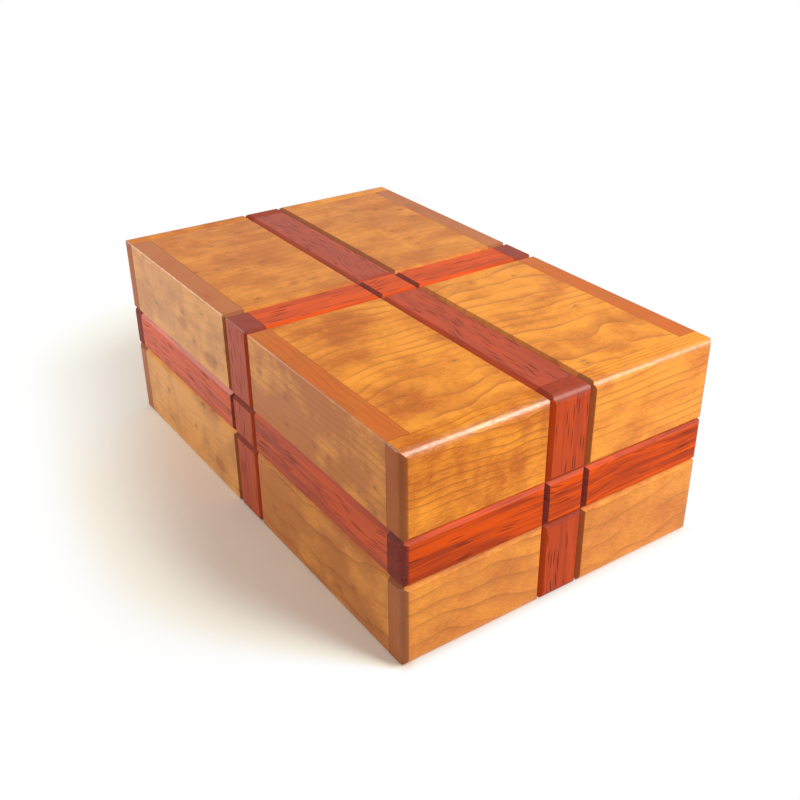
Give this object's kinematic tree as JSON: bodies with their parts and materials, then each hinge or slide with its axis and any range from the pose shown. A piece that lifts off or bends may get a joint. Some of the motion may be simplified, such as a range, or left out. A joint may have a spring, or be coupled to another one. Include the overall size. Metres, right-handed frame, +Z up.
{
  "type": "puzzle box",
  "caption": "Wooden puzzle box with crossing red bands; its end caps slide off a divided tray, with sliding key strips and hidden lock pins.",
  "frame": {"origin": "middle of the underside, on the surface that the box stands on", "axes": "+X along the box's length, towards the end that faces the camera; +Y across its width, towards its hidden long side; +Z up"},
  "size_m": [0.162, 0.1, 0.0615],
  "materials": {
    "cherry": "satin oil on figured cherry",
    "red_wood": "satin oil on open-pored red wood",
    "core_wood": "sanded, thin oil",
    "steel": "bare ground steel",
    "magnet": "nickel plating"
  },
  "bodies": {
    "core": {"tray_floor": "core_wood", "tray_front_wall": "cherry", "tray_back_wall": "cherry", "tray_near_wall": "cherry", "tray_far_wall": "cherry", "centre_board": "core_wood", "near_pin_board": "core_wood", "far_pin_board": "core_wood", "ring_top_strip": "red_wood", "ring_bottom_strip": "red_wood"},
    "near_cap": {"near_end_band": "red_wood", "near_end_post_upper": "red_wood", "near_end_post_lower": "red_wood", "near_end_panel_front_upper": "cherry", "near_end_panel_front_lower": "cherry", "near_end_panel_back_upper": "cherry", "near_end_panel_back_lower": "cherry", "near_front_band": "red_wood", "near_back_band": "red_wood", "near_front_panel_upper": "cherry", "near_front_panel_lower": "cherry", "near_back_panel_upper": "cherry", "near_back_panel_lower": "cherry", "near_top_strip": "red_wood", "near_top_panel_front": "cherry", "near_top_panel_back": "cherry", "near_bottom_strip": "red_wood", "near_bottom_panel_front": "cherry", "near_bottom_panel_back": "cherry"},
    "far_cap": {"far_end_band": "red_wood", "far_end_post_upper": "red_wood", "far_end_post_lower": "red_wood", "far_end_panel_front_upper": "cherry", "far_end_panel_front_lower": "cherry", "far_end_panel_back_upper": "cherry", "far_end_panel_back_lower": "cherry", "far_front_band": "red_wood", "far_back_band": "red_wood", "far_front_panel_upper": "cherry", "far_front_panel_lower": "cherry", "far_back_panel_upper": "cherry", "far_back_panel_lower": "cherry", "far_top_strip": "red_wood", "far_top_panel_front": "cherry", "far_top_panel_back": "cherry", "far_bottom_strip": "red_wood", "far_bottom_panel_front": "cherry", "far_bottom_panel_back": "cherry"},
    "front_key": {"front_key_strip": "red_wood", "front_key_tongue": "core_wood", "front_key_magnet": "magnet"},
    "back_key": {"back_key_strip": "red_wood", "back_key_tongue": "core_wood", "back_key_magnet": "magnet"},
    "near_lock": {"near_lock_pin": "steel"},
    "far_lock": {"far_lock_pin": "steel"}
  },
  "joints": [
    {"name": "near_cap_slide", "type": "slide", "parent": "core", "child": "near_cap", "axis": [1, 0, 0], "range_m": [0, 0.07]},
    {"name": "far_cap_slide", "type": "slide", "parent": "core", "child": "far_cap", "axis": [-1, 0, 0], "range_m": [0, 0.07]},
    {"name": "front_key_slide", "type": "slide", "parent": "core", "child": "front_key", "axis": [0, 0, 1], "range_m": [0, 0.008]},
    {"name": "back_key_slide", "type": "slide", "parent": "core", "child": "back_key", "axis": [0, 0, 1], "range_m": [0, 0.008]},
    {"name": "near_pin_slide", "type": "slide", "parent": "core", "child": "near_lock", "axis": [0, -1, 0], "range_m": [0, 0.005]},
    {"name": "far_pin_slide", "type": "slide", "parent": "core", "child": "far_lock", "axis": [0, 1, 0], "range_m": [0, 0.005]}
  ]
}
